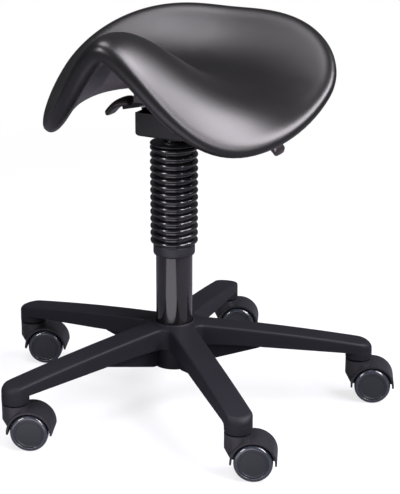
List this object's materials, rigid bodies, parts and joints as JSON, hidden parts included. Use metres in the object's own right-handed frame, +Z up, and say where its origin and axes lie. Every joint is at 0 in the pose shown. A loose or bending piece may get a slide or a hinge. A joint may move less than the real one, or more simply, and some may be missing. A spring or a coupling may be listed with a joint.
{
  "type": "saddle stool",
  "caption": "Height-adjustable rolling stool with a tilting black saddle seat, ribbed bellows over the gas lift, and a star base on twin-wheel castors.",
  "frame": {"origin": "on the floor under the column's axis", "axes": "+Z up, the seat's nose points to -Y, the rider's left is +X"},
  "size_m": [0.5521, 0.5517, 0.543],
  "materials": {
    "base_plastic": "satin, fine grain",
    "column_paint": "gloss powder coat",
    "bush_plastic": "matte",
    "bellows_rubber": "gloss",
    "buffer_rubber": "matte",
    "lift_paint": "gloss",
    "mechanism_paint": "satin powder coat",
    "lever_paint": "satin powder coat",
    "grip_plastic": "satin",
    "plain_steel": "zinc plated",
    "castor_plastic": "satin",
    "wheel_plastic": "matte",
    "tread_rubber": "satin polyurethane",
    "seat_leather": "satin, fine grain",
    "shell_plastic": "matte"
  },
  "bodies": {
    "base": {"five_star_base": "base_plastic", "castor_stems": "plain_steel", "stem_rings": "plain_steel", "column_tube": "column_paint", "column_bush": "bush_plastic", "thrust_bearing": "plain_steel"},
    "spindle": {"piston_rod": "plain_steel", "rod_clip": "plain_steel", "bump_stop": "buffer_rubber", "bellows": "bellows_rubber"},
    "lift": {"gas_cylinder": "lift_paint", "taper_socket": "mechanism_paint", "tilt_housing": "mechanism_paint", "tilt_pins": "plain_steel", "lock_bolt": "plain_steel", "cam_pin": "plain_steel", "height_lever_pin": "plain_steel"},
    "valve": {"release_pin": "plain_steel"},
    "height_lever": {"height_lever": "lever_paint", "height_lever_grip": "grip_plastic"},
    "tilt_lever": {"tilt_lever": "lever_paint", "tilt_lever_grip": "grip_plastic"},
    "seat": {"seat_bracket": "mechanism_paint", "seat_bolts": "plain_steel", "t_nuts": "plain_steel", "lock_forks": "mechanism_paint", "seat_shell": "shell_plastic", "seat_cushion": "seat_leather"},
    "castor_1": {"castor_1_body": "castor_plastic", "castor_1_axle": "plain_steel"},
    "castor_1_left": {"castor_1_wheel_left": "wheel_plastic", "castor_1_tread_left": "tread_rubber"},
    "castor_1_right": {"castor_1_wheel_right": "wheel_plastic", "castor_1_tread_right": "tread_rubber"},
    "castor_2": {"castor_2_body": "castor_plastic", "castor_2_axle": "plain_steel"},
    "castor_2_left": {"castor_2_wheel_left": "wheel_plastic", "castor_2_tread_left": "tread_rubber"},
    "castor_2_right": {"castor_2_wheel_right": "wheel_plastic", "castor_2_tread_right": "tread_rubber"},
    "castor_3": {"castor_3_body": "castor_plastic", "castor_3_axle": "plain_steel"},
    "castor_3_left": {"castor_3_wheel_left": "wheel_plastic", "castor_3_tread_left": "tread_rubber"},
    "castor_3_right": {"castor_3_wheel_right": "wheel_plastic", "castor_3_tread_right": "tread_rubber"},
    "castor_4": {"castor_4_body": "castor_plastic", "castor_4_axle": "plain_steel"},
    "castor_4_left": {"castor_4_wheel_left": "wheel_plastic", "castor_4_tread_left": "tread_rubber"},
    "castor_4_right": {"castor_4_wheel_right": "wheel_plastic", "castor_4_tread_right": "tread_rubber"},
    "castor_5": {"castor_5_body": "castor_plastic", "castor_5_axle": "plain_steel"},
    "castor_5_left": {"castor_5_wheel_left": "wheel_plastic", "castor_5_tread_left": "tread_rubber"},
    "castor_5_right": {"castor_5_wheel_right": "wheel_plastic", "castor_5_tread_right": "tread_rubber"}
  },
  "joints": [
    {"name": "seat_swivel", "type": "hinge", "parent": "base", "child": "spindle", "pos_m": [0, 0, 0.056], "axis": [0, 0, 1], "continuous": true},
    {"name": "seat_height", "type": "slide", "parent": "spindle", "child": "lift", "axis": [0, 0, 1], "range_m": [-0.1, 0], "deforming": ["bellows"]},
    {"name": "height_valve", "type": "slide", "parent": "lift", "child": "valve", "axis": [0, 0, 1], "range_m": [-0.0037, 0]},
    {"name": "height_lever_pivot", "type": "hinge", "parent": "lift", "child": "height_lever", "pos_m": [-0.027, 0, 0.4215], "axis": [0, 1, 0], "range_deg": [0, 7.5], "stiffness_Nm_per_rad": 4, "springref_deg": -8.59},
    {"name": "tilt_lever_pivot", "type": "hinge", "parent": "lift", "child": "tilt_lever", "pos_m": [0.049, 0.04, 0.398], "axis": [0, 1, 0], "range_deg": [-20, 0]},
    {"name": "seat_tilt", "type": "hinge", "parent": "lift", "child": "seat", "pos_m": [0, 0, 0.405], "axis": [1, 0, 0], "range_deg": [-6, 6]},
    {"name": "castor_1_swivel", "type": "hinge", "parent": "base", "child": "castor_1", "pos_m": [0.18978, -0.1733, 0.061], "axis": [0, 0, 1], "continuous": true},
    {"name": "castor_1_left_roll", "type": "hinge", "parent": "castor_1", "child": "castor_1_left", "pos_m": [0.20798, -0.165, 0.025], "axis": [-0.4147, 0.91, 0], "continuous": true},
    {"name": "castor_1_right_roll", "type": "hinge", "parent": "castor_1", "child": "castor_1_right", "pos_m": [0.20798, -0.165, 0.025], "axis": [-0.4147, 0.91, 0], "continuous": true},
    {"name": "castor_2_swivel", "type": "hinge", "parent": "base", "child": "castor_2", "pos_m": [0.22346, 0.12694, 0.061], "axis": [0, 0, 1], "continuous": true},
    {"name": "castor_2_left_roll", "type": "hinge", "parent": "castor_2", "child": "castor_2_left", "pos_m": [0.24166, 0.13524, 0.025], "axis": [-0.4147, 0.91, 0], "continuous": true},
    {"name": "castor_2_right_roll", "type": "hinge", "parent": "castor_2", "child": "castor_2_right", "pos_m": [0.24166, 0.13524, 0.025], "axis": [-0.4147, 0.91, 0], "continuous": true},
    {"name": "castor_3_swivel", "type": "hinge", "parent": "base", "child": "castor_3", "pos_m": [-0.05168, 0.25175, 0.061], "axis": [0, 0, 1], "continuous": true},
    {"name": "castor_3_left_roll", "type": "hinge", "parent": "castor_3", "child": "castor_3_left", "pos_m": [-0.03348, 0.26005, 0.025], "axis": [-0.4147, 0.91, 0], "continuous": true},
    {"name": "castor_3_right_roll", "type": "hinge", "parent": "castor_3", "child": "castor_3_right", "pos_m": [-0.03348, 0.26005, 0.025], "axis": [-0.4147, 0.91, 0], "continuous": true},
    {"name": "castor_4_swivel", "type": "hinge", "parent": "base", "child": "castor_4", "pos_m": [-0.2554, 0.02865, 0.061], "axis": [0, 0, 1], "continuous": true},
    {"name": "castor_4_left_roll", "type": "hinge", "parent": "castor_4", "child": "castor_4_left", "pos_m": [-0.2372, 0.03694, 0.025], "axis": [-0.4147, 0.91, 0], "continuous": true},
    {"name": "castor_4_right_roll", "type": "hinge", "parent": "castor_4", "child": "castor_4_right", "pos_m": [-0.2372, 0.03694, 0.025], "axis": [-0.4147, 0.91, 0], "continuous": true},
    {"name": "castor_5_swivel", "type": "hinge", "parent": "base", "child": "castor_5", "pos_m": [-0.10617, -0.23405, 0.061], "axis": [0, 0, 1], "continuous": true},
    {"name": "castor_5_left_roll", "type": "hinge", "parent": "castor_5", "child": "castor_5_left", "pos_m": [-0.08797, -0.22575, 0.025], "axis": [-0.4147, 0.91, 0], "continuous": true},
    {"name": "castor_5_right_roll", "type": "hinge", "parent": "castor_5", "child": "castor_5_right", "pos_m": [-0.08797, -0.22575, 0.025], "axis": [-0.4147, 0.91, 0], "continuous": true}
  ],
  "couplings": [
    {"joint": "height_valve", "follows": "height_lever_pivot", "m_per_rad": -0.027}
  ]
}
